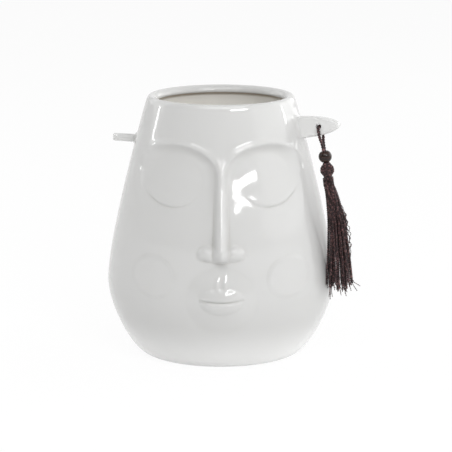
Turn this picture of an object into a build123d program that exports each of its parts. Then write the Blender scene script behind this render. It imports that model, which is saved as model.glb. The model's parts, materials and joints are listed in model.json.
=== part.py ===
"""Face vase with a tassel earring: a cast ceramic body, two luted ears and a hanging tassel."""
import math
import os

from build123d import *

# Millimetres and degrees. The vase stands on Z = 0 with +Z up; the face looks towards -Y.

# Body
HEIGHT = 200.0
DEPTH_RATIO = 0.88
FOOT_RADIUS = 61.0
FOOT_PULL = 8.3
FOOT_RISE = 0.8
BELLY_RADIUS = 88.0
BELLY_HEIGHT = 57.0
BELLY_PULL_DOWN = 22.0
BELLY_PULL_UP = 24.0
SHOULDER_RADIUS = 58.8
SHOULDER_LEAN = 16.0
SHOULDER_PULL = 39.0
LIP_HEIGHT = 10.0
LIP_CREST_RADIUS = 53.7
LIP_ROUND = 4.8
WALL = 6.5
FLOOR = 8.0

# Relief of the face
SKIN = 4.0
SOCKET_DEPTH = 4.2
SOCKET_SPRING = 150.0
SOCKET_TOP = 170.5
SOCKET_FADE = 96.0
SOCKET_RUN_OUT = 8.0
SOCKET_MIDDLE = 34.0
SOCKET_TEMPLE = 62.5
SOCKET_FLARE = 14.0
NOSE_HALF_WIDTH = 3.4
NOSE_TOP = 156.0
NOSE_TIP = 96.0
NOSE_TIP_HALF_WIDTH = 8.0
NOSE_TIP_RISE = 10.5
NOSE_ROUND = 7.0
WING_ACROSS = 10.3
WING_HEIGHT = 93.0
WING_RADIUS = 5.8
WING_RISE = 5.5
EYE_ACROSS = 38.0
EYE_HEIGHT = 144.0
EYE_RADIUS = 20.0
EYE_SUNK = 5.5
EYE_RISE = 6.2
CHEEK_ACROSS = 50.0
CHEEK_HEIGHT = 73.0
CHEEK_RADIUS = 17.0
CHEEK_RISE = 1.0
MOUTH_HEIGHT = 58.5
MOUTH_HALF_WIDTH = 18.0
LIP_HALF_HEIGHT = 4.2
LIP_RISE = 3.6
LIP_DROOP = 12.0

# Ears
EAR_THICKNESS = 6.0
EAR_WIDTH = 16.6
EAR_EDGE = 1.6
RIGHT_EAR_TURN = 22.0
RIGHT_EAR_DROP = 22.0
RIGHT_EAR_REACH = 33.0
RIGHT_EAR_RISE = 7.0
LEFT_EAR_TURN = 20.0
LEFT_EAR_DROP = 37.5
LEFT_EAR_REACH = 22.0
LEFT_EAR_TILT = 13.0
HOLE_RADIUS = 2.0
HOLE_REACH = 16.9
HOLE_EDGE = 0.8

# Tassel
PLAY = 0.2
CORD_RADIUS = 1.0
LEG_SPACING = 1.05
LEG_BEND = 4.0
LOOP_LENGTH = 28.0
LOOP_LEAN = 12.0
STRADDLE_LENGTH = 9.0
GATHER_LENGTH = 13.5
KNOT_RADIUS = 2.1
BEAD_RADIUS = 5.0
BEAD_GAP = 0.3
HEAD_RADIUS = 5.5
NECK_RADIUS = 2.95
NECK_LENGTH = 7.2
THREAD_RADIUS = 0.45
THREAD_PITCH = 1.35
THREAD_TURNS = 4
THREAD_SEAT = 0.02
SKIRT_LENGTH = 80.0
SKIRT_UNEVEN = 9.0
SKIRT_TOP_SPREAD = 3.0
SKIRT_END_SPREAD = 7.7
SKIRT_SLICE = 1.2
STRAND_COUNT = 36
STRAND_TOP = 0.38
STRAND_END = 0.95
FLANK_CLEARANCE = 0.6

SHOULDER_HEIGHT = HEIGHT - LIP_HEIGHT
LEAN_X = math.sin(math.radians(SHOULDER_LEAN))
LEAN_Z = math.cos(math.radians(SHOULDER_LEAN))
UP = Vector(0, 0, 1)


def flank_points(inset):
    """Control points of the lower and upper flank curves, moved inwards by an inset."""
    foot = FOOT_RADIUS - inset
    belly = BELLY_RADIUS - inset
    shoulder = SHOULDER_RADIUS - inset
    lower = [
        (foot, 0),
        (foot + FOOT_PULL, FOOT_RISE),
        (belly, BELLY_HEIGHT - BELLY_PULL_DOWN),
        (belly, BELLY_HEIGHT),
    ]
    upper = [
        (belly, BELLY_HEIGHT),
        (belly, BELLY_HEIGHT + BELLY_PULL_UP),
        (shoulder + SHOULDER_PULL * LEAN_X, SHOULDER_HEIGHT - SHOULDER_PULL * LEAN_Z),
        (shoulder, SHOULDER_HEIGHT),
    ]
    return lower, upper


def bezier_at(points, share):
    """Radius and height of a cubic curve at a share of its run."""
    rest = 1 - share
    weights = (rest**3, 3 * rest**2 * share, 3 * rest * share**2, share**3)
    radius = sum(weight * point[0] for weight, point in zip(weights, points))
    height = sum(weight * point[1] for weight, point in zip(weights, points))
    return radius, height


def radius_at(height):
    """Half-width of the outside at a height."""
    lower, upper = flank_points(0)
    points = lower if height < BELLY_HEIGHT else upper
    low, high = 0.0, 1.0
    for _ in range(40):
        middle = (low + high) / 2
        if bezier_at(points, middle)[1] < height:
            low = middle
        else:
            high = middle
    return bezier_at(points, low)[0]


def face_plane(across, height, sunk=0.0):
    """Plane on the round form: x runs across, y up, z out of the clay; sunk moves it inwards."""
    half = radius_at(height)
    slope = (radius_at(height + 1) - radius_at(height - 1)) / 2
    depth = math.sqrt(half**2 - across**2)
    outward = Vector(across / half, -depth / half, -slope).normalized()
    sideways = Vector(-outward.Y, outward.X, 0)
    return Plane(origin=Vector(across, -depth, height) - outward * sunk, x_dir=sideways, z_dir=outward)


def mound(plane, half_width, half_height, half_depth, turn=0.0):
    """Rounded lump on a plane of the face."""
    with BuildPart(mode=Mode.PRIVATE) as lump:
        Sphere(1)
        scale(by=(half_width, half_height, half_depth))
    return plane.rotated((0, 0, turn)).location * lump.part


# The body is turned round and given its face, then pressed to its oval once at the end.

# Core just under the skin, so that the lumps of the relief don't reach the hollow
with BuildPart() as core:
    with BuildSketch(Plane.XZ):
        with BuildLine():
            lower_flank, upper_flank = flank_points(SKIN)
            Line((0, 0), lower_flank[0])
            Bezier(*lower_flank)
            Bezier(*upper_flank)
            Line(upper_flank[3], (0, SHOULDER_HEIGHT))
            Line((0, SHOULDER_HEIGHT), (0, 0))
        make_face()
    revolve(axis=Axis.Z)

# Eye socket: an arched recess whose floor runs out towards the cheek
socket_foot = SOCKET_FADE - SOCKET_RUN_OUT
socket_head = SOCKET_TOP + SOCKET_RUN_OUT
foot_half = 2 * radius_at(socket_foot) - radius_at(SOCKET_FADE)
head_half = radius_at(socket_head) - SOCKET_DEPTH
with BuildPart() as socket:
    with BuildSketch(Plane.XZ):
        with BuildLine():
            inner_foot = (NOSE_HALF_WIDTH, socket_foot)
            inner_spring = (NOSE_HALF_WIDTH, SOCKET_SPRING)
            crown = (SOCKET_MIDDLE, SOCKET_TOP)
            temple = (SOCKET_TEMPLE, SOCKET_SPRING)
            outer_foot = (SOCKET_TEMPLE + SOCKET_FLARE, socket_foot)
            Line(inner_foot, inner_spring)
            Spline(inner_spring, crown, temple, tangents=[(0, 1), (0.1, -1)])
            Line(temple, outer_foot)
            Line(outer_foot, inner_foot)
        make_face()
    extrude(amount=2 * BELLY_RADIUS)
    with BuildSketch(Plane.XY.offset(socket_foot)):
        Circle(foot_half)
    with BuildSketch(Plane.XY.offset(socket_head)):
        Circle(head_half)
    loft(mode=Mode.SUBTRACT)

# Relief lumps: nose, nostrils, eyelids, cheeks and lips
with BuildPart() as relief:
    for height, half_width, rise in (
        (NOSE_TOP, NOSE_HALF_WIDTH, 0.4),
        ((NOSE_TOP + NOSE_TIP) / 2, (NOSE_HALF_WIDTH + NOSE_TIP_HALF_WIDTH) / 2, NOSE_TIP_RISE / 2),
        (NOSE_TIP, NOSE_TIP_HALF_WIDTH, NOSE_TIP_RISE),
        (NOSE_TIP - NOSE_ROUND, NOSE_TIP_HALF_WIDTH * 0.75, NOSE_TIP_RISE * 0.6),
    ):
        with BuildSketch(Plane((0, SKIN - radius_at(height), height))):
            Ellipse(half_width, SKIN + rise)
    loft()
    for side in (-1, 1):
        wing = face_plane(side * WING_ACROSS, WING_HEIGHT)
        lid = face_plane(side * EYE_ACROSS, EYE_HEIGHT, EYE_SUNK)
        cheek = face_plane(side * CHEEK_ACROSS, CHEEK_HEIGHT, SKIN)
        upper_lip = face_plane(side * MOUTH_HALF_WIDTH * 0.42, MOUTH_HEIGHT + LIP_HALF_HEIGHT)
        add(mound(wing, WING_RADIUS, WING_RADIUS, WING_RISE))
        add(mound(lid, EYE_RADIUS, EYE_RADIUS, EYE_RISE))
        add(mound(cheek, CHEEK_RADIUS, CHEEK_RADIUS, SKIN + CHEEK_RISE))
        add(mound(upper_lip, MOUTH_HALF_WIDTH * 0.62, LIP_HALF_HEIGHT, LIP_RISE, -side * LIP_DROOP))
    lower_lip = face_plane(0, MOUTH_HEIGHT - LIP_HALF_HEIGHT)
    add(mound(lower_lip, MOUTH_HALF_WIDTH * 0.8, LIP_HALF_HEIGHT * 1.2, LIP_RISE * 1.2))
    add(core.part, mode=Mode.SUBTRACT)

# Body: wall with its rolled lip, sockets and relief, ground flat at the foot
with BuildPart() as vase_body:
    with BuildSketch(Plane.XZ):
        with BuildLine():
            lower_flank, upper_flank = flank_points(0)
            inner_lower, inner_upper = flank_points(WALL)
            floor_edge = (inner_lower[0][0] - FOOT_PULL, FLOOR)
            crest = (LIP_CREST_RADIUS, HEIGHT)
            inner_edge = (LIP_CREST_RADIUS - LIP_ROUND, HEIGHT - LIP_ROUND)
            foot_edge = (FOOT_RADIUS - FOOT_PULL, -FOOT_RISE)
            Line((0, -FOOT_RISE), foot_edge)
            Line(foot_edge, lower_flank[0])
            Bezier(*lower_flank)
            Bezier(*upper_flank)
            Bezier(
                upper_flank[3],
                (SHOULDER_RADIUS - LIP_HEIGHT / 2 * LEAN_X, SHOULDER_HEIGHT + LIP_HEIGHT / 2 * LEAN_Z),
                (LIP_CREST_RADIUS + LIP_ROUND / 2, HEIGHT),
                crest,
            )
            TangentArc(crest, inner_edge, tangent=(-1, 0))
            Line(inner_edge, inner_upper[3])
            Bezier(*reversed(inner_upper))
            Bezier(
                inner_lower[3],
                (inner_lower[3][0], BELLY_HEIGHT - BELLY_PULL_DOWN),
                (floor_edge[0] + 2 * FOOT_PULL, FLOOR),
                floor_edge,
            )
            Line(floor_edge, (0, FLOOR))
            Line((0, FLOOR), (0, -FOOT_RISE))
        make_face()
    revolve(axis=Axis.Z)
    add(socket.part, mode=Mode.SUBTRACT)
    add(mirror(socket.part, about=Plane.YZ, mode=Mode.PRIVATE), mode=Mode.SUBTRACT)
    add(relief.part)
    scale(by=(1, DEPTH_RATIO, 1))
    split(bisect_by=Plane.XY, keep=Keep.TOP)
vase_body.part.label = "vase_body"


def ear_root(turn, height):
    """Point of the outside that faces a turn from +X towards -Y, and that outward direction."""
    outward = Vector(math.cos(math.radians(turn)), -math.sin(math.radians(turn)), 0)
    squash = math.hypot(outward.X, DEPTH_RATIO * outward.Y)
    root = Vector(outward.X, DEPTH_RATIO**2 * outward.Y, 0) * (radius_at(height) / squash)
    return root + UP * height, outward


def flank_block(root):
    """Filled slice of the body behind an ear, that gives the ear's root its seat."""
    turn = math.atan2(root.Y / DEPTH_RATIO, root.X) - math.radians(30)
    radial = Vector(math.cos(turn), math.sin(turn), 0)
    with BuildPart(mode=Mode.PRIVATE) as block:
        with BuildSketch(Plane(origin=(0, 0, 0), x_dir=radial, z_dir=radial.cross(UP))):
            with BuildLine():
                _, upper = flank_points(0)
                Line((0, BELLY_HEIGHT), upper[0])
                Bezier(*upper)
                Line(upper[3], (0, SHOULDER_HEIGHT))
                Line((0, SHOULDER_HEIGHT), (0, BELLY_HEIGHT))
            make_face()
        revolve(axis=Axis.Z, revolution_arc=60)
        scale(by=(1, DEPTH_RATIO, 1))
    return block.part


def leaf(plane, reach):
    """Oval plate centred on a plane, its tip at a reach along the plane's x."""
    tip_radius = (EAR_WIDTH / 2) ** 2 / reach
    with BuildPart(mode=Mode.PRIVATE) as plate:
        with BuildSketch(plane.offset(-EAR_THICKNESS / 2)):
            Ellipse(reach, EAR_WIDTH / 2)
        extrude(amount=EAR_THICKNESS)
        sides = plate.faces().sort_by(Axis(plane.origin, plane.z_dir))
        fillet(sides[0].edges() + sides[-1].edges(), radius=min(EAR_EDGE, 0.8 * tip_radius))
    return plate.part


# Right ear: the oval on edge, drilled for the cord
right_root, right_out = ear_root(RIGHT_EAR_TURN, HEIGHT - RIGHT_EAR_DROP)
facing = Vector(right_out.Y, -right_out.X, 0)
rise_angle = math.radians(RIGHT_EAR_RISE)
right_axis = right_out * math.cos(rise_angle) + UP * math.sin(rise_angle)
right_plane = Plane(origin=right_root, x_dir=right_axis, z_dir=facing)
hole_center = right_root + right_axis * HOLE_REACH
with BuildPart() as right_ear:
    add(leaf(right_plane, RIGHT_EAR_REACH))
    with BuildSketch(Plane(origin=hole_center - facing * EAR_THICKNESS / 2, x_dir=right_axis, z_dir=facing)):
        Circle(HOLE_RADIUS)
    extrude(amount=EAR_THICKNESS, mode=Mode.SUBTRACT)
    bore = right_ear.faces().filter_by(GeomType.CYLINDER).sort_by_distance(hole_center)[0]
    fillet(bore.edges().filter_by(GeomType.CIRCLE), radius=HOLE_EDGE)
    add(flank_block(right_root), mode=Mode.SUBTRACT)
right_ear.part.label = "right_ear"

# Left ear: the oval lying flat, its front edge a little up
left_root, left_out = ear_root(180 + LEFT_EAR_TURN, HEIGHT - LEFT_EAR_DROP)
tilt_angle = math.radians(LEFT_EAR_TILT)
left_back = Vector(left_out.Y, -left_out.X, 0)
left_normal = UP * math.cos(tilt_angle) + left_back * math.sin(tilt_angle)
with BuildPart() as left_ear:
    add(leaf(Plane(origin=left_root, x_dir=left_out, z_dir=left_normal), LEFT_EAR_REACH))
    add(flank_block(left_root), mode=Mode.SUBTRACT)
left_ear.part.label = "left_ear"

# Loop: a doubled cord through the ear's hole, gathered below the ear and knotted under the bead
pivot = hole_center - UP * (HOLE_RADIUS - PLAY - CORD_RADIUS)
loop_angle = math.radians(LOOP_LEAN)
loop_up = UP * math.cos(loop_angle) - right_out * math.sin(loop_angle)
knot = pivot - loop_up * LOOP_LENGTH
straddle = EAR_THICKNESS / 2 + PLAY + CORD_RADIUS
hole_bend = HOLE_EDGE + PLAY + CORD_RADIUS
with BuildPart() as hanging_loop:
    with BuildLine(Plane(origin=pivot, x_dir=facing, z_dir=facing.cross(loop_up))) as loop_path:
        FilletPolyline(
            (LEG_SPACING, -LOOP_LENGTH),
            (LEG_SPACING, -GATHER_LENGTH),
            (straddle, -STRADDLE_LENGTH),
            (straddle, 0),
            (-straddle, 0),
            (-straddle, -STRADDLE_LENGTH),
            (-LEG_SPACING, -GATHER_LENGTH),
            (-LEG_SPACING, -LOOP_LENGTH),
            radius=(LEG_BEND, LEG_BEND, hole_bend, hole_bend, LEG_BEND, LEG_BEND),
        )
    with BuildSketch(Plane(origin=loop_path.line @ 0, x_dir=facing, z_dir=loop_path.line % 0)):
        Circle(CORD_RADIUS)
    sweep(path=loop_path.line)
    with Locations(knot):
        Sphere(KNOT_RADIUS)
hanging_loop.part.label = "hanging_loop"

# Bead: a bored ball on the two legs
bead_center = knot + loop_up * (BEAD_GAP + BEAD_RADIUS)
with BuildPart(Plane(origin=bead_center, x_dir=facing, z_dir=loop_up)) as wooden_bead:
    Sphere(BEAD_RADIUS)
    Cylinder(KNOT_RADIUS + PLAY, 3 * BEAD_RADIUS, mode=Mode.SUBTRACT)
wooden_bead.part.label = "wooden_bead"

# The tassel leans out just far enough to clear the flank
head_drop = BEAD_GAP + HEAD_RADIUS
neck_start = head_drop + math.sqrt(HEAD_RADIUS**2 - NECK_RADIUS**2)
skirt_start = neck_start + NECK_LENGTH
squash_out = math.hypot(right_out.X, DEPTH_RATIO * right_out.Y)


def tassel_room(lean):
    """Least distance between the skirt and the flank at a lean."""
    room = BELLY_RADIUS
    for step in range(21):
        run = skirt_start + SKIRT_LENGTH * step / 20
        half = SKIRT_TOP_SPREAD + (SKIRT_END_SPREAD - SKIRT_TOP_SPREAD) * step / 20 + STRAND_END
        reach = knot.dot(right_out) + run * math.sin(lean)
        height = max(knot.Z - run * math.cos(lean), 0)
        room = min(room, reach - half - squash_out * radius_at(min(height, SHOULDER_HEIGHT)))
    return room


tassel_lean = 0.0
while tassel_room(tassel_lean) < FLANK_CLEARANCE and tassel_lean < 1:
    tassel_lean += 0.002
tassel_up = UP * math.cos(tassel_lean) - right_out * math.sin(tassel_lean)
tassel_plane = Plane(origin=knot, x_dir=facing, z_dir=tassel_up)

# Head: the folded hank over the knot, with its neck
with BuildPart(tassel_plane) as tassel_head:
    with Locations((0, 0, -head_drop)):
        Sphere(HEAD_RADIUS)
    with Locations((0, 0, -head_drop)):
        Cylinder(NECK_RADIUS, skirt_start - head_drop, align=(Align.CENTER, Align.CENTER, Align.MAX))
    Sphere(KNOT_RADIUS + PLAY, mode=Mode.SUBTRACT)
tassel_head.part.label = "tassel_head"


def winding_frame(turn):
    """Point and direction of the neck winding after a number of turns."""
    angle = 2 * math.pi * turn
    radius = NECK_RADIUS + THREAD_SEAT + THREAD_RADIUS
    drop = neck_start + (NECK_LENGTH - THREAD_TURNS * THREAD_PITCH) / 2 + THREAD_PITCH * turn
    spoke = tassel_plane.x_dir * math.cos(angle) + tassel_plane.y_dir * math.sin(angle)
    ahead = tassel_plane.y_dir * math.cos(angle) - tassel_plane.x_dir * math.sin(angle)
    along = ahead * radius - tassel_up * (THREAD_PITCH / (2 * math.pi))
    return knot + spoke * radius - tassel_up * drop, along.normalized()


def biarc_joint(first, first_along, last, last_along):
    """Point where two arcs between two directed points meet, and the direction there."""
    chord = last - first
    spread = 2 * first_along.dot(last_along) - 2
    pull = chord.dot(first_along + last_along)
    arm = (pull - math.sqrt(pull**2 - spread * chord.dot(chord))) / spread
    first_arm = first + first_along * arm
    last_arm = last - last_along * arm
    return (first_arm + last_arm) * 0.5, (last_arm - first_arm).normalized()


# Binding: a thread wound round the neck, in quarter turns of two arcs each
with BuildPart() as neck_binding:
    with BuildLine() as winding:
        for quarter in range(4 * THREAD_TURNS):
            start, start_along = winding_frame(quarter / 4)
            end, end_along = winding_frame((quarter + 1) / 4)
            joint, joint_along = biarc_joint(start, start_along, end, end_along)
            TangentArc(start, joint, tangent=start_along)
            TangentArc(joint, end, tangent=joint_along)
    thread_path = Wire(winding.line.edges())
    with BuildSketch(Plane(origin=thread_path @ 0, z_dir=thread_path % 0)):
        Circle(THREAD_RADIUS)
    sweep(path=thread_path)
neck_binding.part.label = "neck_binding"

winding_points = [winding_frame(turn / 36)[0] for turn in range(36 * THREAD_TURNS + 1)]
winding_gap = min(
    (winding_points[late] - winding_points[early]).length - 2 * THREAD_RADIUS
    for early in range(len(winding_points))
    for late in range(early + 18, len(winding_points))
)
print("least gap of the winding to itself", round(winding_gap, 3))


def strand(number):
    """One hanging yarn end of the skirt, on a sunflower pattern that opens downwards."""
    share = math.sqrt((number + 0.5) / STRAND_COUNT)
    angle = math.radians(137.508 * number)
    uneven = SKIRT_UNEVEN * ((number * 0.618034) % 1)
    top = (share * SKIRT_TOP_SPREAD, -(skirt_start + SKIRT_SLICE / 2), STRAND_TOP)
    end = (share * SKIRT_END_SPREAD, -(skirt_start + SKIRT_LENGTH - uneven), STRAND_END)
    with BuildPart(mode=Mode.PRIVATE) as yarn:
        for spread, height, half in (top, end):
            center = tassel_plane.from_local_coords((spread * math.cos(angle), spread * math.sin(angle), height))
            with BuildSketch(Plane(origin=center, x_dir=facing, z_dir=tassel_up)):
                RegularPolygon(half, 4)
        loft(ruled=True)
    return yarn.part


# Skirt: the yarn ends under the binding
with BuildPart() as tassel_skirt:
    with BuildSketch(tassel_plane.offset(-skirt_start)):
        Circle(SKIRT_TOP_SPREAD + STRAND_TOP)
    extrude(amount=-SKIRT_SLICE)
    add([strand(number) for number in range(STRAND_COUNT)])
tassel_skirt.part.label = "tassel_skirt"

os.makedirs("parts", exist_ok=True)
export_step(vase_body.part, "parts/vase_body.step")
export_step(left_ear.part, "parts/left_ear.step")
export_step(right_ear.part, "parts/right_ear.step")
export_step(hanging_loop.part, "parts/hanging_loop.step")
export_step(wooden_bead.part, "parts/wooden_bead.step")
export_step(tassel_head.part, "parts/tassel_head.step")
export_step(neck_binding.part, "parts/neck_binding.step")
export_step(tassel_skirt.part, "parts/tassel_skirt.step")

print("ear hole pivot", pivot, "hole axis", facing)
print("loop direction", loop_up, "tassel direction", tassel_up, "outward", right_out)
print("knot", knot, "tassel lean", round(math.degrees(tassel_lean), 2))
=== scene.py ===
"""Face vase with a tassel earring: a glazed body, two ears, and a bead and tassel on a cord."""
import json
import math
import random

import bpy
import numpy as np
from mathutils import Matrix, Vector


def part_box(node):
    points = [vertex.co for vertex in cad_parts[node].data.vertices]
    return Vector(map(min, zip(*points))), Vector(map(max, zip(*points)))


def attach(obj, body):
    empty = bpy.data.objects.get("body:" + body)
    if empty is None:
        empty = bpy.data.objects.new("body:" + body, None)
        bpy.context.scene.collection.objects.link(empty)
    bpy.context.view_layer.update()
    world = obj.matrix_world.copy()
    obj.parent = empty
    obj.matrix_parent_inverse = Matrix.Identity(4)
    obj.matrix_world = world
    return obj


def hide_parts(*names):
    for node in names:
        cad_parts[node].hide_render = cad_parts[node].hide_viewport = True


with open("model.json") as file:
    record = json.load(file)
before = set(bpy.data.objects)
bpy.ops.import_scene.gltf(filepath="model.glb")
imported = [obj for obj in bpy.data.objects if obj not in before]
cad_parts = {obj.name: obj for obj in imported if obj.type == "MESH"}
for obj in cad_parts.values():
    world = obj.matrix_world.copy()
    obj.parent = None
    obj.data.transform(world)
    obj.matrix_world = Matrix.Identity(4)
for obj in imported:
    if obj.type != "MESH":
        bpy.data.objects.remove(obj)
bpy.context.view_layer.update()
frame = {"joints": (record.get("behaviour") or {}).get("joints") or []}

bl_info = {
    "name": "Face Vase",
    "version": (1, 0, 0),
    "blender": (4, 5, 0),
    "location": "3D View > Sidebar > Face Vase",
    "description": "Builds a glazed face vase with a tassel earring around its packed frame",
    "category": "Object",
}

MM = 0.001
UP = Vector((0, 0, 1))

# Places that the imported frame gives
joints = {joint["name"]: joint for joint in frame["joints"]}
pivot = Vector(joints["loop_swing"]["pos_m"])
facing = Vector(joints["loop_swing"]["axis"]).normalized()
loop_up = Vector(joints["bead_slide"]["axis"]).normalized()
knot = Vector(joints["tassel_swing"]["pos_m"])
right_out = Vector(joints["tassel_swing"]["axis"]).normalized()
_, body_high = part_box("vase_body")
bead_low, bead_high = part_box("wooden_bead")


def linear(code):
    """Linear colour of an sRGB hex value."""
    shares = [int(code[start:start + 2], 16) / 255 for start in (1, 3, 5)]
    return [share / 12.92 if share <= 0.04045 else ((share + 0.055) / 1.055) ** 2.4 for share in shares]


def length_prop(name, description, default):
    """A length in metres that a user may change."""
    return bpy.props.FloatProperty(
        name=name, description=description, default=default, unit="LENGTH", precision=5
    )


def colour_prop(name, description, code):
    """A colour that a user may change, from its sRGB hex value."""
    return bpy.props.FloatVectorProperty(
        name=name, description=description, subtype="COLOR", default=linear(code), min=0, max=1
    )


class VaseSizes(bpy.types.PropertyGroup):
    """Sizes of the cast body and its ears."""

    height: length_prop("Height", "Height of the rim above the table", body_high.z)
    belly: length_prop("Belly radius", "Half of the greatest width", body_high.x)
    belly_height: length_prop("Belly height", "Height of the greatest width", 57 * MM)
    depth_ratio: bpy.props.FloatProperty(
        name="Depth ratio", description="Depth of the oval over its width", default=body_high.y / body_high.x
    )
    foot: length_prop("Foot radius", "Half-width of the flat foot", 61 * MM)
    shoulder: length_prop("Shoulder radius", "Half-width just under the lip", 58.8 * MM)
    crest: length_prop("Crest radius", "Half-width of the lip's crest", 53.7 * MM)
    wall: length_prop("Wall", "Thickness of the cast wall", 6.5 * MM)
    floor: length_prop("Floor", "Thickness of the floor", 8 * MM)
    ear_thickness: length_prop("Ear thickness", "Thickness of both ears", 6 * MM)
    ear_width: length_prop("Ear width", "Width of both ears at the root", 16.6 * MM)
    right_reach: length_prop("Right ear reach", "How far the drilled ear stands out", 33 * MM)
    left_reach: length_prop("Left ear reach", "How far the plain ear stands out", 22 * MM)


class FaceSizes(bpy.types.PropertyGroup):
    """Heights of the relief."""

    socket: length_prop("Eye socket", "Depth of the eye sockets under the brow", 4.9 * MM)
    lid: length_prop("Eyelid", "Height of the closed lids over the socket's floor", 1.2 * MM)
    nose: length_prop("Nose", "Height of the nose at its tip", 12.0 * MM)
    wing: length_prop("Nostril", "Height of the nostrils", 4.4 * MM)
    lip: length_prop("Lip", "Height of the lower lip", 2.7 * MM)
    cheek: length_prop("Cheek", "Height of the cheek discs", 0.6 * MM)


class TasselSizes(bpy.types.PropertyGroup):
    """Sizes of the cord, the bead and the tassel."""

    cord: length_prop("Cord", "Diameter of the cord over its two plies", 2.6 * MM)
    bead: length_prop("Bead radius", "Radius of the wooden bead", (bead_high.x - bead_low.x) / 2)
    head: length_prop("Head radius", "Radius of the tassel's head", 5.5 * MM)
    neck: length_prop("Neck radius", "Radius of the neck under its binding", 3.3 * MM)
    strand: length_prop("Strand", "Diameter of one yarn strand", 1.4 * MM)
    skirt: length_prop("Skirt length", "Length of the longest strands under the binding", 80 * MM)
    strands: bpy.props.IntProperty(name="Strands", description="Strands of the skirt", default=72, min=8)
    seed: bpy.props.IntProperty(name="Seed", description="Seed of the strands' unevenness", default=7)


class VaseColours(bpy.types.PropertyGroup):
    """Colours of the finishes and the stage."""

    glaze: colour_prop("Glaze", "White gloss glaze", "#CBCBCA")
    # Painted light: the ears' glaze is lighter than the body's, standing in for the light the ears catch
    ear: colour_prop("Ear glaze", "White gloss glaze of the ears, thicker than on the body", "#D8D8D7")
    # Painted shade: darker glaze colour that the relief's creases and hollows are greyed towards, and the
    # tone of the glaze's random clouds
    cloud_and_shade: colour_prop("Pooled glaze", "Glaze where it lies thick in a crease", "#BBBAB6")
    # Painted light: lighter glaze colour that the outside fades to towards the foot, standing in for light
    # on the lower flank and base
    thick: colour_prop("Thick glaze", "Glaze that ran down to the foot", "#EAEAE9")
    # The cream tint is the inside glaze's own; its lightness, far above the outside glaze, is painted light
    # that makes up for the dim light inside
    inside: colour_prop("Inside glaze", "Glaze of the inside", "#FCFAF5")
    # Painted shadow: dark inside glaze colour for the band under the lip's undercut, and the tone of the
    # inside glaze's random clouds
    undercut_shadow_and_cloud: colour_prop("Undercut glaze", "Inside glaze run thick under the lip", "#A2978A")
    clay: colour_prop("Clay", "Bare fired clay of the foot", "#D8CCBC")
    yarn: colour_prop("Yarn", "Dark brown yarn", "#240A0D")
    # Painted highlight: the lighter colour of flecks where the plies catch the light
    yarn_painted_highlight: colour_prop("Yarn crown", "Yarn where its fibres catch the light", "#865F5E")
    wood: colour_prop("Wood", "Stained wood", "#1C130E")
    wood_light: colour_prop("Wood grain", "Lighter grain of the stained wood", "#31211A")
    floor: colour_prop("Floor", "Floor under the vase", "#FAFAFA")


def add_node(tree, kind, links=None, **settings):
    """Adds a node, sets its settings, and links or sets its inputs."""
    node = tree.nodes.new(kind)
    for key, value in settings.items():
        setattr(node, key, value)
    for key, value in (links or {}).items():
        if isinstance(value, bpy.types.NodeSocket):
            tree.links.new(value, node.inputs[key])
        else:
            node.inputs[key].default_value = value
    return node


def new_material(name):
    """An empty node material, and its tree to fill."""
    material = bpy.data.materials.new(name)
    material.use_nodes = True
    material.node_tree.nodes.clear()
    return material, material.node_tree


def opaque(colour):
    """A colour with full alpha."""
    return (*colour, 1)


# Finishes: sizes of their patterns in millimetres, and shares
PAINTED_LIGHT_HEIGHT = 38.0
CLOUD_SIZE = 45.0
CLOUD_SHARE = 0.12
WAVE_SIZE = 16.0
WAVE_DEPTH = 0.6
GRIT_SIZE = 1.2
GRIT_DEPTH = 0.2
GRIT_DARKNESS = 0.72
FLECK_SIZE = 1.5
FLECK_DEPTH = 0.15
HIGHLIGHT_START = 0.55
HIGHLIGHT_FULL = 0.65
GRAIN_SIZE = 9.0


def glaze_material(name, colour, cloud_and_shade, thick):
    """Gloss glaze over white stoneware: a glassy, wavy coat that mirrors the lights, with painted shade
    greying its creases and painted light whitening it towards the foot.
    """
    material, tree = new_material(name)
    place = add_node(tree, "ShaderNodeTexCoord")
    # Painted shade: a point attribute greys the glaze in the relief's creases and hollows and under the lip
    crease = add_node(tree, "ShaderNodeAttribute", attribute_name="painted_shade")
    cloud = add_node(tree, "ShaderNodeTexNoise", {
        "Vector": place.outputs["Object"], "Scale": 1 / (CLOUD_SIZE * MM), "Detail": 2.0,
    })
    shade = add_node(tree, "ShaderNodeMath", {
        0: cloud.outputs["Fac"], 1: CLOUD_SHARE, 2: crease.outputs["Fac"],
    }, operation="MULTIPLY_ADD", use_clamp=True)
    tint = add_node(tree, "ShaderNodeMix", {
        "Factor": shade.outputs[0], 6: opaque(colour), 7: opaque(cloud_and_shade),
    }, data_type="RGBA")
    # Painted light: the glaze is lighter towards the foot, standing in for light on the lower flank and base
    parts = add_node(tree, "ShaderNodeSeparateXYZ", {0: place.outputs["Object"]})
    run = add_node(tree, "ShaderNodeMapRange", {
        "Value": parts.outputs["Z"], "From Min": 0.0, "From Max": PAINTED_LIGHT_HEIGHT * MM,
        "To Min": 1.0, "To Max": 0.0,
    }, interpolation_type="SMOOTHSTEP")
    tint = add_node(tree, "ShaderNodeMix", {
        "Factor": run.outputs[0], 6: tint.outputs[2], 7: opaque(thick),
    }, data_type="RGBA")
    # Slow waves of the coat
    wave = add_node(tree, "ShaderNodeTexNoise", {
        "Vector": place.outputs["Object"], "Scale": 1 / (WAVE_SIZE * MM), "Detail": 1.0,
    })
    bump = add_node(tree, "ShaderNodeBump", {
        "Height": wave.outputs["Fac"], "Strength": 0.4, "Distance": WAVE_DEPTH * MM,
    })
    shader = add_node(tree, "ShaderNodeBsdfPrincipled", {
        "Base Color": tint.outputs[2], "Roughness": 0.07, "IOR": 1.52, "Normal": bump.outputs[0],
    })
    add_node(tree, "ShaderNodeOutputMaterial", {"Surface": shader.outputs[0]})
    return material


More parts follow.
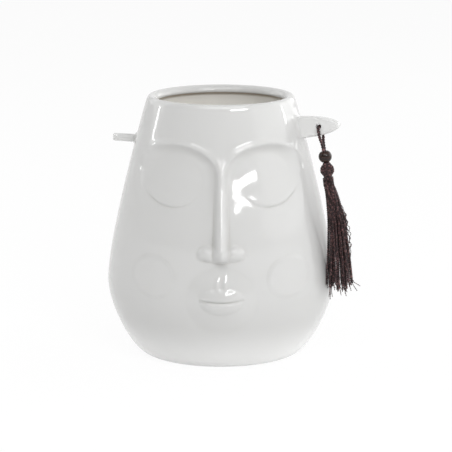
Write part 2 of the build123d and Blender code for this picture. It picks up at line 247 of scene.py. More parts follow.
def clay_material(colour):
    """Fired stoneware left bare under the foot: dry, matt, with a sandy grain."""
    material, tree = new_material("bare_stoneware")
    place = add_node(tree, "ShaderNodeTexCoord")
    grit = add_node(tree, "ShaderNodeTexNoise", {
        "Vector": place.outputs["Object"], "Scale": 1 / (GRIT_SIZE * MM), "Detail": 3.0,
    })
    dark = [GRIT_DARKNESS * part for part in colour]
    tint = add_node(tree, "ShaderNodeMix", {
        "Factor": grit.outputs["Fac"], 6: opaque(colour), 7: opaque(dark),
    }, data_type="RGBA")
    bump = add_node(tree, "ShaderNodeBump", {
        "Height": grit.outputs["Fac"], "Strength": 0.5, "Distance": GRIT_DEPTH * MM,
    })
    shader = add_node(tree, "ShaderNodeBsdfPrincipled", {
        "Base Color": tint.outputs[2], "Roughness": 0.85, "Normal": bump.outputs[0],
    })
    add_node(tree, "ShaderNodeOutputMaterial", {"Surface": shader.outputs[0]})
    return material


def yarn_material(colour, light):
    """Twisted viscose yarn: dark, with a silky gleam along the fibres and painted highlights as lighter
    flecks on the plies' crowns.
    """
    material, tree = new_material("viscose_yarn")
    place = add_node(tree, "ShaderNodeTexCoord")
    # Painted highlight: fibres are finer than a pixel, so the light they catch is painted as lighter flecks
    # as wide as a ply
    fibre = add_node(tree, "ShaderNodeTexNoise", {
        "Vector": place.outputs["Object"], "Scale": 1 / (FLECK_SIZE * MM), "Detail": 1.0,
    })
    painted_highlight = add_node(tree, "ShaderNodeMapRange", {
        "Value": fibre.outputs["Fac"], "From Min": HIGHLIGHT_START, "From Max": HIGHLIGHT_FULL,
        "To Min": 0.0, "To Max": 1.0,
    })
    tint = add_node(tree, "ShaderNodeMix", {
        "Factor": painted_highlight.outputs[0], 6: opaque(colour), 7: opaque(light),
    }, data_type="RGBA")
    bump = add_node(tree, "ShaderNodeBump", {
        "Height": fibre.outputs["Fac"], "Strength": 0.4, "Distance": FLECK_DEPTH * MM,
    })
    shader = add_node(tree, "ShaderNodeBsdfPrincipled", {
        "Base Color": tint.outputs[2], "Roughness": 0.42, "Normal": bump.outputs[0],
        "Sheen Weight": 0.15, "Sheen Roughness": 0.4,
    })
    add_node(tree, "ShaderNodeOutputMaterial", {"Surface": shader.outputs[0]})
    return material


def wood_material(colour, light):
    """Turned wood, stained nearly black and lacquered: faint grain rings under a clear gloss."""
    material, tree = new_material("stained_lacquered_wood")
    place = add_node(tree, "ShaderNodeTexCoord")
    grain = add_node(tree, "ShaderNodeTexWave", {
        "Vector": place.outputs["Object"], "Scale": 1 / (GRAIN_SIZE * MM), "Distortion": 5.0, "Detail": 2.0,
        "Detail Scale": 2.0,
    }, bands_direction="Z")
    tint = add_node(tree, "ShaderNodeMix", {
        "Factor": grain.outputs["Fac"], 6: opaque(colour), 7: opaque(light),
    }, data_type="RGBA")
    shader = add_node(tree, "ShaderNodeBsdfPrincipled", {
        "Base Color": tint.outputs[2], "Roughness": 0.22, "Specular IOR Level": 0.35,
    })
    add_node(tree, "ShaderNodeOutputMaterial", {"Surface": shader.outputs[0]})
    return material


def put(name, data):
    """A new object at the origin, in the scene."""
    item = bpy.data.objects.new(name, data)
    bpy.context.scene.collection.objects.link(item)
    return item


def new_piece(name, verts, faces, materials, face_slots=None):
    """A smooth mesh object at the origin, from its points and faces."""
    mesh = bpy.data.meshes.new(name)
    mesh.from_pydata([tuple(vert) for vert in verts], [], faces)
    mesh.polygons.foreach_set("use_smooth", [True] * len(mesh.polygons))
    for material in materials:
        mesh.materials.append(material)
    if face_slots is not None:
        mesh.polygons.foreach_set("material_index", face_slots)
    return put(name, mesh)


def settle(piece, body, slot, *nodes):
    """Hands a finished piece to its body and hides any CAD nodes that it stands for; its slot is not used.
    """
    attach(piece, body)
    if nodes:
        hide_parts(*nodes)


def cubic(points, count):
    """Points of a cubic curve at even shares of its run."""
    share = np.linspace(0, 1, count)[:, None]
    rest = 1 - share
    first, second, third, last = (np.array(point) for point in points)
    return rest**3 * first + 3 * rest**2 * share * second + 3 * rest * share**2 * third + share**3 * last


def polar(radius, angle, rise):
    """A point from its distance to an axis, its turn round it and its height."""
    return Vector((radius * math.cos(angle), radius * math.sin(angle), rise))


def ease(low, high, value):
    """Smooth rise from 0 at low to 1 at high."""
    share = np.clip((value - low) / (high - low), 0, 1)
    return share * share * (3 - 2 * share)


def ramp(low, high, value, soft):
    """Straight rise from 0 at low to 1 at high, with soft corners."""
    rise = np.logaddexp(0, (value - low) / soft) - np.logaddexp(0, (value - high) / soft)
    return soft * rise / (high - low)


# Body profile, in millimetres: pulls of its curves and the roll of the lip, whose first pull is a share of
# the lip's height
FOOT_PULL = 8.3
FOOT_RISE = 0.8
BELLY_PULL_DOWN = 22.0
BELLY_PULL_UP = 24.0
SHOULDER_PULL = 39.0
SHOULDER_LEAN = math.radians(16)
LIP_HEIGHT = 10.0
LIP_ROUND = 4.8
LIP_STRAIGHT = 0.72
# Mesh of the body: rows over the relief in millimetres, columns in degrees, and counts of the other rows
RELIEF_LOW = 43.0
RELIEF_HIGH = 188.0
RELIEF_STEP = 0.8
FRONT_HALF_ANGLE = 84.0
FRONT_STEP = 0.6
BACK_STEP = 3.2
FINE_POINTS = 400
BELOW_ROWS = 36
ABOVE_ROWS = 3
LIP_ROWS = 13
ROLL_ROWS = 9
UNDER_SHARES = (0.12, 0.35, 0.65, 0.9)
INSIDE_ROWS = 20
DOWN_ROWS = 12
FLOOR_ROWS = 6
FOOT_ROWS = 5
MIDDLE_RADIUS = 1.0


def flank_curves(sizes, inset):
    """Lower and upper flank of the profile as control points, moved inwards by an inset."""
    foot = sizes.foot / MM - inset
    belly = sizes.belly / MM - inset
    shoulder = sizes.shoulder / MM - inset
    belly_height = sizes.belly_height / MM
    shoulder_height = sizes.height / MM - LIP_HEIGHT
    lean_out = SHOULDER_PULL * math.sin(SHOULDER_LEAN)
    lean_up = SHOULDER_PULL * math.cos(SHOULDER_LEAN)
    lower = [
        (foot, 0), (foot + FOOT_PULL, FOOT_RISE),
        (belly, belly_height - BELLY_PULL_DOWN), (belly, belly_height),
    ]
    upper = [
        (belly, belly_height), (belly, belly_height + BELLY_PULL_UP),
        (shoulder + lean_out, shoulder_height - lean_up), (shoulder, shoulder_height),
    ]
    return lower, upper


def outside_profile(sizes):
    """Radius and height along the outside, from the foot's edge to under the lip, dense over the relief."""
    lower, upper = flank_curves(sizes, 0)
    fine = np.vstack([cubic(lower, FINE_POINTS), cubic(upper, 2 * FINE_POINTS)[1:]])
    below = cubic(lower, BELOW_ROWS)
    below = below[below[:, 1] < RELIEF_LOW - RELIEF_STEP]
    heights = np.arange(RELIEF_LOW, RELIEF_HIGH, RELIEF_STEP)
    above = np.linspace(RELIEF_HIGH, upper[3][1], ABOVE_ROWS)
    heights = np.concatenate([heights, above])
    return np.vstack([below, np.column_stack([np.interp(heights, fine[:, 1], fine[:, 0]), heights])])


def lip_profile(sizes):
    """Radius and height over the rolled lip and down to the throat."""
    height = sizes.height / MM
    crest = sizes.crest / MM
    shoulder = sizes.shoulder / MM
    start = height - LIP_HEIGHT
    straight = LIP_STRAIGHT * LIP_HEIGHT
    outer = cubic([
        (shoulder, start),
        (shoulder - straight * math.sin(SHOULDER_LEAN), start + straight * math.cos(SHOULDER_LEAN)),
        (crest + LIP_ROUND / 2, height), (crest, height),
    ], LIP_ROWS)[1:]
    turn = np.radians(np.linspace(0, 90, ROLL_ROWS)[1:])
    roll = np.column_stack([
        crest - LIP_ROUND * np.sin(turn), height - LIP_ROUND + LIP_ROUND * np.cos(turn),
    ])
    throat = np.array([shoulder - sizes.wall / MM, start])
    edge = roll[-1]
    under = [edge + (throat - edge) * share for share in UNDER_SHARES]
    return np.vstack([outer, roll, under])


def inside_profile(sizes):
    """Radius and height down the inside and across the floor to the middle."""
    wall = sizes.wall / MM
    floor = sizes.floor / MM
    lower, upper = flank_curves(sizes, wall)
    edge = lower[0][0] - FOOT_PULL
    belly = lower[3]
    down = [belly, (belly[0], belly[1] - BELLY_PULL_DOWN), (edge + 2 * FOOT_PULL, floor), (edge, floor)]
    across = np.linspace(edge, MIDDLE_RADIUS, FLOOR_ROWS + 1)[1:]
    across = np.column_stack([across, np.full(FLOOR_ROWS, floor)])
    return np.vstack([cubic(upper[::-1], INSIDE_ROWS)[1:], cubic(down, DOWN_ROWS)[1:], across])


# Face, in millimetres across from the middle and up from the table: pairs are where a change starts and
# ends, and powers and shares give the forms their roundness
SOCKET_MIDDLE = 34.0
SOCKET_INNER = 32.3
SOCKET_OUTER = 29.0
SOCKET_FLARE = 0.22
SOCKET_SPRING = 148.0
SOCKET_ARCH = 22.6
SOCKET_SLOPE = 8.5
SOCKET_LOW = 105.0
SOCKET_FULL = 150.0
SOCKET_SOFT = 2.5
TEMPLE_SLOPE = 7.0
TEMPLE_SLOPE_RUN = (42, 62)
TEMPLE_FADE = 0.72
TEMPLE_FADE_RUN = (42, 66)
CHEEKBONE_RISE = 1.2
CHEEKBONE_LOW = 74.0
BROW_RISE = 0.65
BROW_WIDTH = 3.2
BROW_OFFSET = 1.5
BROW_UP = (138, 152)
BROW_END = (44, 60)
LID_ACROSS = 38.0
LID_UP = 145.0
LID_INNER = 23.5
LID_OUTER = 22.0
LID_DOWN = 19.7
LID_CROWN = 1.4
LID_FADE = (146, 168)
LID_STEP = 1.1
LID_STEP_EDGE = (0.95, 1.0)
LID_STEP_RUN = (0.0, 0.9)
LID_CREASE = 0.55
LID_CREASE_WIDTH = 0.9
LID_EDGE_UP = (126, 142)
LID_EDGE_DROP = 6.0
LID_EDGE_DROP_RUN = (30, 18)
LID_EDGE_INNER = 0.4
LID_EDGE_INNER_RUN = (18, 42)
LID_EDGE_OUTER = 0.6
LID_EDGE_OUTER_RUN = (52, 61)
NOSE_TOP = 164.0
NOSE_TIP = 95.0
NOSE_BASE = 86.6
NOSE_SWEEP = 1.15
BRIDGE_HALF_WIDTH = 4.6
NOSE_HALF_WIDTH = 6.0
NOSE_UNDER_RISE = 2.4
NOSE_UNDER_WIDTH = 17.0
RIDGE_ROUND = 10.0
RIDGE_POWER = 1.25
WING_ACROSS = 10.0
WING_UP = 91.4
WING_HALF_WIDTH = 7.7
WING_HALF_HEIGHT = 8.0
WING_POWER = 0.9
WING_SUNK = 0.55
MUZZLE_RISE = 3.6
MUZZLE_UP = 58.0
MUZZLE_HALF_WIDTH = 27.0
MUZZLE_HALF_HEIGHT = 26.0
MUZZLE_POWER = 1.5
PHILTRUM_RISE = 0.9
PHILTRUM_ACROSS = 2.8
PHILTRUM_WIDTH = 1.5
PHILTRUM_LOW = (65, 69)
PHILTRUM_HIGH = (70, 80)
LIP_LINE = 57.8
LIP_CORNER = 17.8
LIP_CORNER_RISE = 1.6
UPPER_LIP_SHARE = 0.8
UPPER_LIP_HEIGHT = 10.4
UPPER_LIP_POWER = 1.1
UPPER_LIP_ROLL = 1.6
UPPER_LIP_TUCK = 0.5
LOWER_LIP_HALF_WIDTH = 15.4
LOWER_LIP_HEIGHT = 9.2
LOWER_LIP_POWER = 0.8
LOWER_LIP_ROLL = 1.4
LOWER_LIP_TUCK = 0.6
GROOVE_DEPTH = 0.8
GROOVE_WIDTH = 0.75
GROOVE_FADE = 14.0
CHEEK_ACROSS = 50.3
CHEEK_UP = 73.2
CHEEK_RADIUS = 16.4
CHEEK_EDGE = (0.8, 1.04)


def swell(value, width):
    """Bell-shaped rise of 1 at zero, with a given width."""
    return np.exp(-((value / width) ** 2))


def mound(across, up, power):
    """Round rise of 1 at the middle to 0 at the edge, from shares of its half-width and half-height."""
    return np.clip(1 - across**2 - up**2, 0, 1) ** power


def eye_relief(side, up, face):
    """Socket under the brow, with the closed lid in it and the step of the lid's lower edge."""
    flare = SOCKET_OUTER + SOCKET_FLARE * np.maximum(SOCKET_SPRING - up, 0)
    reach = np.where(side < SOCKET_MIDDLE, SOCKET_INNER, flare)
    arch = np.maximum(up - SOCKET_SPRING, 0) / SOCKET_ARCH
    inside = (1 - np.hypot((side - SOCKET_MIDDLE) / reach, arch)) * SOCKET_INNER
    slope = SOCKET_SLOPE + TEMPLE_SLOPE * ease(*TEMPLE_SLOPE_RUN, side)
    # The slope is steepest at the brow's crisp edge and runs out on the socket's floor
    shallow = (1 - np.clip(inside / slope, 0, 1)) ** 2
    # The floor runs evenly back from a low cheekbone to the full depth under the brow
    floor = CHEEKBONE_RISE * ease(CHEEKBONE_LOW, SOCKET_LOW, up)
    floor -= (face.socket / MM + CHEEKBONE_RISE) * ramp(SOCKET_LOW, SOCKET_FULL, up, SOCKET_SOFT)
    hollow = floor * (1 - shallow) * (1 - TEMPLE_FADE * ease(*TEMPLE_FADE_RUN, side))
    brow = BROW_RISE * swell(inside + BROW_OFFSET, BROW_WIDTH)
    brow *= ease(*BROW_UP, up) * (1 - ease(*BROW_END, side))
    reach = np.where(side < LID_ACROSS, LID_INNER, LID_OUTER)
    round_lid = np.hypot((side - LID_ACROSS) / reach, (up - LID_UP) / LID_DOWN)
    dome = face.lid / MM * mound(round_lid, 0, LID_CROWN) * (1 - ease(*LID_FADE, up))
    # The lower edge starts lower and flatter at the nose, and fades at the temple
    edge_top = LID_EDGE_UP[1] - LID_EDGE_DROP * ease(*LID_EDGE_DROP_RUN, side)
    low_edge = 1 - ease(LID_EDGE_UP[0], edge_top, up)
    low_edge *= LID_EDGE_INNER + (1 - LID_EDGE_INNER) * ease(*LID_EDGE_INNER_RUN, side)
    low_edge *= 1 - LID_EDGE_OUTER * ease(*LID_EDGE_OUTER_RUN, side)
    step = LID_STEP * low_edge * (1 - ease(*LID_STEP_EDGE, round_lid))
    step *= 1 - ease(*LID_STEP_RUN, 1 - round_lid)
    crease = LID_CREASE * low_edge * swell((round_lid - 1) * LID_DOWN, LID_CREASE_WIDTH)
    return hollow + brow + dome + step - crease


def nose_relief(side, up, face):
    """Narrow ridge that rises to the tip, flared nostrils, and a round underside."""
    tip = face.nose / MM
    share = np.clip((NOSE_TOP - up) / (NOSE_TOP - NOSE_TIP), 0, 1)
    foot = BRIDGE_HALF_WIDTH + (NOSE_HALF_WIDTH - BRIDGE_HALF_WIDTH) * share
    flank = (np.hypot(side, RIDGE_ROUND) - RIDGE_ROUND) / (np.hypot(foot, RIDGE_ROUND) - RIDGE_ROUND)
    ridge = tip * share**NOSE_SWEEP * (1 - np.clip(flank, 0, 1)) ** RIDGE_POWER
    wing = mound((side - WING_ACROSS) / WING_HALF_WIDTH, (up - WING_UP) / WING_HALF_HEIGHT, WING_POWER)
    joined = ridge + face.wing / MM * wing * (1 - WING_SUNK * ridge / tip)
    base = NOSE_BASE + NOSE_UNDER_RISE * (side / NOSE_UNDER_WIDTH) ** 2
    under = np.clip((up - base) / (NOSE_TIP - NOSE_BASE), 0, 1)
    return joined * np.sqrt(1 - (1 - under) ** 2)


def mouth_relief(side, up, face):
    """Muzzle, the two ridges under the nose, and the closed lips."""
    rise = face.lip / MM
    muzzle = mound(side / MUZZLE_HALF_WIDTH, (up - MUZZLE_UP) / MUZZLE_HALF_HEIGHT, MUZZLE_POWER)
    philtrum = swell(side - PHILTRUM_ACROSS, PHILTRUM_WIDTH)
    philtrum *= ease(*PHILTRUM_LOW, up) * (1 - ease(*PHILTRUM_HIGH, up))
    line = LIP_LINE + LIP_CORNER_RISE * (side / LIP_CORNER) ** 2
    upper = UPPER_LIP_SHARE * mound(side / LIP_CORNER, (up - line) / UPPER_LIP_HEIGHT, UPPER_LIP_POWER)
    upper *= rise * (1 - UPPER_LIP_TUCK * (1 - ease(line, line + UPPER_LIP_ROLL, up)))
    lower = rise * mound(side / LOWER_LIP_HALF_WIDTH, (up - LIP_LINE) / LOWER_LIP_HEIGHT, LOWER_LIP_POWER)
    lower *= 1 - LOWER_LIP_TUCK * ease(line - LOWER_LIP_ROLL, line, up)
    groove = GROOVE_DEPTH * swell(up - line, GROOVE_WIDTH) * (1 - ease(GROOVE_FADE, LIP_CORNER, side))
    lips = np.where(up >= line, upper, lower) - groove
    return MUZZLE_RISE * muzzle + PHILTRUM_RISE * philtrum + lips


def face_relief(across, up, face):
    """Height of the face over the plain oval, in millimetres, along the surface's normal."""
    side = np.abs(across)
    round_cheek = np.hypot(side - CHEEK_ACROSS, up - CHEEK_UP) / CHEEK_RADIUS
    cheek = face.cheek / MM * (1 - ease(*CHEEK_EDGE, round_cheek))
    return eye_relief(side, up, face) + nose_relief(side, up, face) + mouth_relief(side, up, face) + cheek


def column_angles():
    """Turns of the mesh columns about the axis, from the front, dense over the face."""
    front = np.arange(-FRONT_HALF_ANGLE, FRONT_HALF_ANGLE + FRONT_STEP / 2, FRONT_STEP)
    back_count = round((360 - 2 * FRONT_HALF_ANGLE) / BACK_STEP)
    back = np.linspace(FRONT_HALF_ANGLE, 360 - FRONT_HALF_ANGLE, back_count + 1)[1:-1]
    return np.radians(np.concatenate([front, back]))


def lathe_faces(rows, columns, closed=False):
    """Quads of a grid that closes round the axis, and from its last row to its first where it is closed."""
    faces = []
    for row in range(rows if closed else rows - 1):
        low, high = row * columns, (row + 1) % rows * columns
        for column in range(columns):
            after = (column + 1) % columns
            faces.append((low + column, low + after, high + after, high + column))
    return faces


# The relief fades towards the sides, and painted shade greys its hollows and the inside just under the lip
FRONT_FADE = (0.02, 0.2)
SHADE_PASSES = 6
SHADE_GAIN = 0.5
SHADE_MOST = 0.5
UNDERCUT_SHADOW_ROWS = 2
UNDERCUT_SHADOW = 0.9
# Order of the body's materials
OUTSIDE_GLAZE, INSIDE_GLAZE, BARE_CLAY = range(3)


def outside_normals(outside, angles, depth_ratio):
    """Outward directions of the oval at each row of the outside and each column."""
    count = len(outside)
    slope = np.gradient(outside[:, 0], outside[:, 1])[:, None]
    normals = np.stack([
        np.repeat(np.sin(angles)[None, :], count, axis=0),
        np.repeat(-np.cos(angles)[None, :] / depth_ratio, count, axis=0),
        np.repeat(-slope, len(angles), axis=1),
    ])
    return normals / np.linalg.norm(normals, axis=0)


def painted_hollow_shade(rise):
    """How much painted shade greys the glaze where a relief is hollow against its neighbourhood."""
    soft = rise
    for _ in range(SHADE_PASSES):
        soft = 0.25 * (
            np.roll(soft, 1, 1) + np.roll(soft, -1, 1)
            + np.vstack([soft[:1], soft[:-1]]) + np.vstack([soft[1:], soft[-1:]])
        )
    return np.clip((soft - rise) * SHADE_GAIN, 0, SHADE_MOST)


class FACEVASE_OT_body(bpy.types.Operator):
    """Cast body: oval wall with its rolled lip, the face in relief, the inside and the bare foot"""

    bl_idname = "face_vase.body"
    bl_label = "Vase body"

    def execute(self, context):
        sizes = context.scene.vase_sizes
        face = context.scene.face_sizes
        colours = context.scene.vase_colours
        outside = outside_profile(sizes)
        lip = lip_profile(sizes)
        inside = inside_profile(sizes)
        foot = np.linspace(MIDDLE_RADIUS, outside[0, 0], FOOT_ROWS + 1)[:-1]
        foot = np.column_stack([foot, np.zeros(FOOT_ROWS)])
        profile = np.vstack([foot, outside, lip, inside])
        angles = column_angles()
        rows, columns = len(profile), len(angles)

        radius = profile[:, 0][:, None]
        points = np.stack([
            radius * np.sin(angles),
            -sizes.depth_ratio * radius * np.cos(angles),
            np.repeat(profile[:, 1][:, None], columns, axis=1),
        ])

        # The relief moves the outside along its normals
        first, last = len(foot), len(foot) + len(outside)
        skin = points[:, first:last]
        rise = face_relief(skin[0], skin[2], face) * ease(*FRONT_FADE, np.cos(angles))
        rise += lute_relief(skin, sizes)
        skin += outside_normals(outside, angles, sizes.depth_ratio) * rise

        verts = points.reshape(3, -1).T * MM
        faces = lathe_faces(rows, columns)
        foot_middle, floor_middle = len(verts), len(verts) + 1
        verts = np.vstack([verts, [[0, 0, 0], [0, 0, sizes.floor]]])
        top = (rows - 1) * columns
        for column in range(columns):
            after = (column + 1) % columns
            faces.append((after, column, foot_middle))
            faces.append((top + column, top + after, floor_middle))
        inner_row = last + len(lip) - len(UNDER_SHARES)
        row_slots = [BARE_CLAY] * first + [OUTSIDE_GLAZE] * (inner_row - first)
        row_slots += [INSIDE_GLAZE] * (rows - 1 - inner_row)
        face_slots = [slot for slot in row_slots for _ in range(columns)]
        face_slots += [BARE_CLAY, INSIDE_GLAZE] * columns

        piece = new_piece("vase_body_glazed", verts, faces, [
            glaze_material("white_gloss_glaze", colours.glaze, colours.cloud_and_shade, colours.thick),
            glaze_material("cream_inside_glaze", colours.inside, colours.undercut_shadow_and_cloud, colours.inside),
            clay_material(colours.clay),
        ], face_slots)

        # Painted shade: grey glaze in the relief's hollows, from how far each point lies below its smoothed
        # neighbourhood
        painted_shade = np.zeros((rows, columns))
        painted_shade[first:last] = painted_hollow_shade(rise)
        # Painted shadow: a dark band on the inside just under the lip's undercut
        painted_shade[inner_row:inner_row + UNDERCUT_SHADOW_ROWS] = UNDERCUT_SHADOW
        layer = piece.data.attributes.new("painted_shade", "FLOAT", "POINT")
        layer.data.foreach_set("value", np.concatenate([painted_shade.ravel(), [0, 0]]))
        settle(piece, "vase", "glazed_ceramic", "vase_body")
        return {"FINISHED"}


# Ears: lengths in millimetres, angles in radians, and counts and shares of the mesh
EAR_EDGE = 1.6
EAR_SUNK = 3.2
EAR_STEPS = 60
EAR_CUT_SHARES = (0.5, 0.25, 0, -0.25, -0.5)
EAR_FACE_SHARES = (0.25, 0.5, 0.75)
EAR_LAST_SHARE = 0.97
EAR_MIDDLE = 0.2
LUTE_RISE = 2.4
LUTE_RUN = 2.2
RIGHT_TURN = math.radians(22)
RIGHT_DROP = 22.0
RIGHT_RISE = math.radians(7)
LEFT_TURN = math.radians(200)
LEFT_DROP = 37.5
LEFT_TILT = math.radians(13)
HOLE_RADIUS = 2.0
HOLE_REACH = 16.9
HOLE_EDGE = 0.5


def axes_matrix(x_axis, z_axis, origin):
    """Placing matrix from two directions and a point."""
    y_axis = z_axis.cross(x_axis)
    return Matrix.Translation(origin) @ Matrix((x_axis, y_axis, z_axis)).transposed().to_4x4()


def ear_root(sizes, turn, height):
    """Point of the outside, in millimetres, that faces a turn from +X towards -Y, and that direction."""
    profile = outside_profile(sizes)
    radius = float(np.interp(height, profile[:, 1], profile[:, 0]))
    outward = Vector((math.cos(turn), -math.sin(turn), 0))
    squash = math.hypot(outward.x, sizes.depth_ratio * outward.y)
    root = Vector((outward.x, sizes.depth_ratio**2 * outward.y, 0)) * (radius / squash)
    return root + UP * height, outward


def ear_places(sizes):
    """Placing matrices of the right and the left ear: x out along the ear, z through its plate."""
    height = sizes.height / MM
    right_root, outward = ear_root(sizes, RIGHT_TURN, height - RIGHT_DROP)
    axis = outward * math.cos(RIGHT_RISE) + UP * math.sin(RIGHT_RISE)
    right = axes_matrix(axis, Vector((outward.y, -outward.x, 0)), right_root)
    left_root, outward = ear_root(sizes, LEFT_TURN, height - LEFT_DROP)
    normal = UP * math.cos(LEFT_TILT) + Vector((outward.y, -outward.x, 0)) * math.sin(LEFT_TILT)
    return right, axes_matrix(outward, normal, left_root)


def lute_relief(points, sizes):
    """Height of the slip smoothed into the corner round the ears' roots, at points of the outside."""
    half = np.array([sizes.ear_width, sizes.ear_thickness]) / MM / 2
    rise = 0
    for place in ear_places(sizes):
        inward = np.array(place.inverted())
        along, wide, thick = np.tensordot(inward[:3, :3], points, 1) + inward[:3, 3][:, None, None]
        away = np.hypot(np.maximum(np.abs(wide) - half[0], 0), np.maximum(np.abs(thick) - half[1], 0))
        rise = rise + np.where(np.abs(along) < 2 * half[0], LUTE_RISE * np.exp(-away / LUTE_RUN), 0)
    return rise


def ear_outline(sizes, reach):
    """Points and outward normals of an ear's oval, from its cut inside the wall round the tip and back."""
    half = sizes.ear_width / MM / 2
    stop = math.acos(-EAR_SUNK / reach)
    outline = []
    for step in range(2 * EAR_STEPS + 1):
        angle = stop * (step / EAR_STEPS - 1)
        point = Vector((reach * math.cos(angle), half * math.sin(angle), 0))
        normal = Vector((half * math.cos(angle), reach * math.sin(angle), 0)).normalized()
        outline.append((point, normal))
    high = outline[-1][0].y
    for share in EAR_CUT_SHARES:
        outline.append((Vector((-EAR_SUNK, high * share, 0)), Vector((-1, 0, 0))))
    return outline


def ear_section(half, hole):
    """Rings of the plate's one half, from the outline over the face to the hole: kind, amount and height."""
    arc = [math.radians(angle) for angle in range(0, 91, 15)]
    section = [
        ("rim", EAR_EDGE * (1 - math.cos(angle)), half - EAR_EDGE + EAR_EDGE * math.sin(angle))
        for angle in arc
    ]
    section += [("face", share, half) for share in EAR_FACE_SHARES]
    if not hole:
        return section + [("face", EAR_LAST_SHARE, half)]
    return section + [
        ("hole", HOLE_EDGE * (1 - math.cos(angle)), half - HOLE_EDGE + HOLE_EDGE * math.sin(angle))
        for angle in reversed(arc)
    ]


def ear_mesh(sizes, reach, middle, hole, place, name, material):
    """Oval plate with rounded edges, laid out in rings round its middle or round its drilled hole."""
    outline = ear_outline(sizes, reach)
    front = ear_section(sizes.ear_thickness / MM / 2, hole)
    section = front + [(kind, amount, -rise) for kind, amount, rise in reversed(front)]
    centre = Vector((middle, 0, 0))
    verts = []
    for kind, amount, rise in section:
        for point, normal in outline:
            spoke = (point - centre).normalized()
            rim = point - normal * (amount if kind == "rim" else EAR_EDGE)
            inner = centre + spoke * (hole + HOLE_EDGE if hole else EAR_MIDDLE)
            if kind == "rim":
                spot = rim
            elif kind == "face":
                spot = rim.lerp(inner, amount)
            else:
                spot = centre + spoke * (hole + amount)
            verts.append(place @ Vector((spot.x, spot.y, rise)) * MM)
    rings, count = len(section), len(outline)
    faces = lathe_faces(rings, count, closed=True)
    if not hole:
        # The two faces are closed in the middle instead of being joined there
        last = rings // 2 * count
        caps = [tuple(range(last - count, last)), tuple(reversed(range(last, last + count)))]
        faces[last - count:last] = caps
    return new_piece(name, verts, faces, [material])


class FACEVASE_OT_ears(bpy.types.Operator):
    """Two oval ears luted to the flank: the right one on edge and drilled, the left one lying flat"""

    bl_idname = "face_vase.ears"
    bl_label = "Ears"

    def execute(self, context):
        sizes = context.scene.vase_sizes
        colours = context.scene.vase_colours
        # Painted light: the ears' glaze is lighter than the body's, standing in for the light the ears catch
        material = glaze_material("ear_glaze_painted_lighter", colours.ear, colours.cloud_and_shade, colours.thick)
        right, left = ear_places(sizes)
        piece = ear_mesh(
            sizes, sizes.right_reach / MM, HOLE_REACH, HOLE_RADIUS, right, "right_ear_glazed", material
        )
        settle(piece, "vase", "glazed_ceramic", "right_ear")
        reach = sizes.left_reach / MM
        piece = ear_mesh(sizes, reach, reach / 2, 0, left, "left_ear_glazed", material)
        settle(piece, "vase", "glazed_ceramic", "left_ear")
        return {"FINISHED"}


def yarn_tree():
    """Geometry nodes that lay a two-ply twisted yarn along the edge chains of a guide mesh."""
    tree = bpy.data.node_groups.new("twisted_yarn", "GeometryNodeTree")
    tree.interface.new_socket("Guides", in_out="INPUT", socket_type="NodeSocketGeometry")
    for name in ("Ply Radius", "Ply Offset", "Twist Pitch", "Step"):
        tree.interface.new_socket(name, in_out="INPUT", socket_type="NodeSocketFloat")
    tree.interface.new_socket("Sides", in_out="INPUT", socket_type="NodeSocketInt")
    tree.interface.new_socket("Yarn", in_out="INPUT", socket_type="NodeSocketMaterial")
    tree.interface.new_socket("Geometry", in_out="OUTPUT", socket_type="NodeSocketGeometry")
    given = add_node(tree, "NodeGroupInput").outputs
    guide = add_node(tree, "GeometryNodeMeshToCurve", {"Mesh": given["Guides"]})
    fine = add_node(tree, "GeometryNodeResampleCurve", {
        "Curve": guide.outputs[0], "Length": given["Step"],
    }, mode="LENGTH")
    run = add_node(tree, "GeometryNodeSplineParameter")
    turns = add_node(tree, "ShaderNodeMath", {
        0: run.outputs["Length"], 1: given["Twist Pitch"],
    }, operation="DIVIDE")
    twist = add_node(tree, "ShaderNodeMath", {0: turns.outputs[0], 1: 2 * math.pi}, operation="MULTIPLY")
    tilted = add_node(tree, "GeometryNodeSetCurveTilt", {"Curve": fine.outputs[0], "Tilt": twist.outputs[0]})
    ply = add_node(tree, "GeometryNodeCurvePrimitiveCircle", {
        "Resolution": given["Sides"], "Radius": given["Ply Radius"],
    })
    aside = add_node(tree, "ShaderNodeCombineXYZ", {"X": given["Ply Offset"]})
    other_side = add_node(tree, "ShaderNodeVectorMath", {
        0: aside.outputs[0], "Scale": -1.0,
    }, operation="SCALE")
    first = add_node(tree, "GeometryNodeTransform", {
        "Geometry": ply.outputs[0], "Translation": aside.outputs[0],
    })
    second = add_node(tree, "GeometryNodeTransform", {
        "Geometry": ply.outputs[0], "Translation": other_side.outputs[0],
    })
    section = add_node(tree, "GeometryNodeJoinGeometry", {"Geometry": first.outputs[0]})
    tree.links.new(second.outputs[0], section.inputs[0])
    swept = add_node(tree, "GeometryNodeCurveToMesh", {
        "Curve": tilted.outputs[0], "Profile Curve": section.outputs[0], "Fill Caps": True,
    })
    smooth = add_node(tree, "GeometryNodeSetShadeSmooth", {"Geometry": swept.outputs[0]})
    real = add_node(tree, "GeometryNodeRealizeInstances", {"Geometry": smooth.outputs[0]})
    painted = add_node(tree, "GeometryNodeSetMaterial", {
        "Geometry": real.outputs[0], "Material": given["Yarn"],
    })
    add_node(tree, "NodeGroupOutput", {"Geometry": painted.outputs[0]})
    return tree


def yarn():
    """The yarn's material, made once."""
    colours = bpy.context.scene.vase_colours
    return bpy.data.materials.get("viscose_yarn") or yarn_material(colours.yarn, colours.yarn_painted_highlight)


